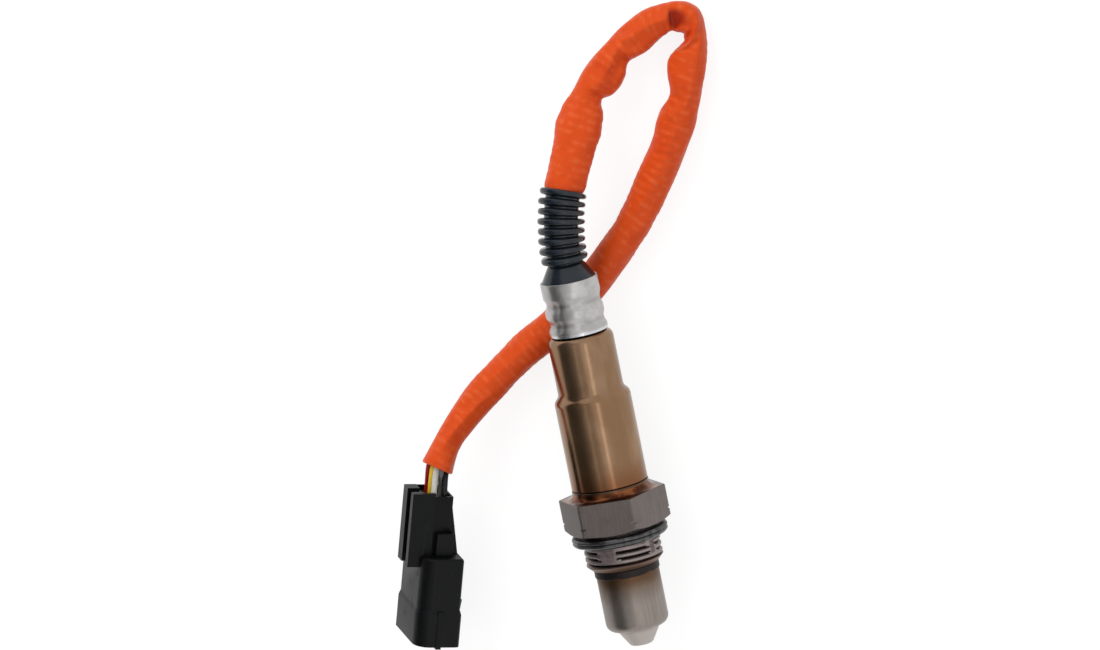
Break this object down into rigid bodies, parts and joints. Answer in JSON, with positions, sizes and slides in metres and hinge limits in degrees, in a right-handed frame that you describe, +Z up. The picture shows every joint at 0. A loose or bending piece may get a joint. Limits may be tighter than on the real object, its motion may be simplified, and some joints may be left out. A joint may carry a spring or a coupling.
{
  "type": "oxygen sensor",
  "caption": "Screw-in exhaust gas sensor with a hexagon, stepped steel shell, ribbed rubber boot, orange sleeved cable and a flat black plug, lying on a surface.",
  "frame": {"origin": "on the surface the sensor lies on, under the middle of the sensor from its nose to its boot", "axes": "+Z up; +Y along the sensor in plan, from the nose towards the boot, its axis leaning up 4.4 degrees; +X to the right of that"},
  "size_m": [0.0989, 0.1463, 0.023],
  "materials": {
    "hex_steel": "satin",
    "gasket_steel": "satin",
    "tube_steel": "satin",
    "shell_steel": "satin",
    "clamp_steel": "satin",
    "spring_steel": "satin",
    "zirconia": "matte",
    "white_ceramic": "matte",
    "talc": "matte",
    "seal_rubber": "matte",
    "boot_rubber": "satin",
    "orange_sleeve": "matte",
    "red_insulation": "satin",
    "yellow_insulation": "satin",
    "white_insulation": "satin",
    "grey_insulation": "satin",
    "black_insulation": "satin",
    "black_plastic": "satin",
    "lock_plastic": "satin",
    "tinned_brass": "satin"
  },
  "bodies": {
    "root": {"housing": "hex_steel", "gasket_ring": "gasket_steel", "outer_protection_tube": "tube_steel", "inner_protection_tube": "tube_steel", "sensor_element": "zirconia", "lower_ceramic_bush": "white_ceramic", "talc_seal": "talc", "upper_ceramic_bush": "white_ceramic", "contact_holder": "white_ceramic", "contact_clip_1": "spring_steel", "contact_clip_2": "spring_steel", "contact_clip_3": "spring_steel", "contact_clip_4": "spring_steel", "contact_clip_5": "spring_steel", "holder_spring": "spring_steel", "shell": "shell_steel", "cable_seal": "seal_rubber", "clamp_sleeve": "clamp_steel", "boot": "boot_rubber", "heat_sleeve": "orange_sleeve", "wire_red": "red_insulation", "wire_yellow": "yellow_insulation", "wire_white": "white_insulation", "wire_grey": "grey_insulation", "wire_black": "black_insulation", "connector_housing": "black_plastic", "terminal_1": "tinned_brass", "terminal_2": "tinned_brass", "terminal_3": "tinned_brass", "terminal_4": "tinned_brass", "terminal_5": "tinned_brass", "wire_seal_1": "seal_rubber", "wire_seal_2": "seal_rubber", "wire_seal_3": "seal_rubber", "wire_seal_4": "seal_rubber", "wire_seal_5": "seal_rubber", "terminal_lock": "lock_plastic"}
  },
  "joints": []
}
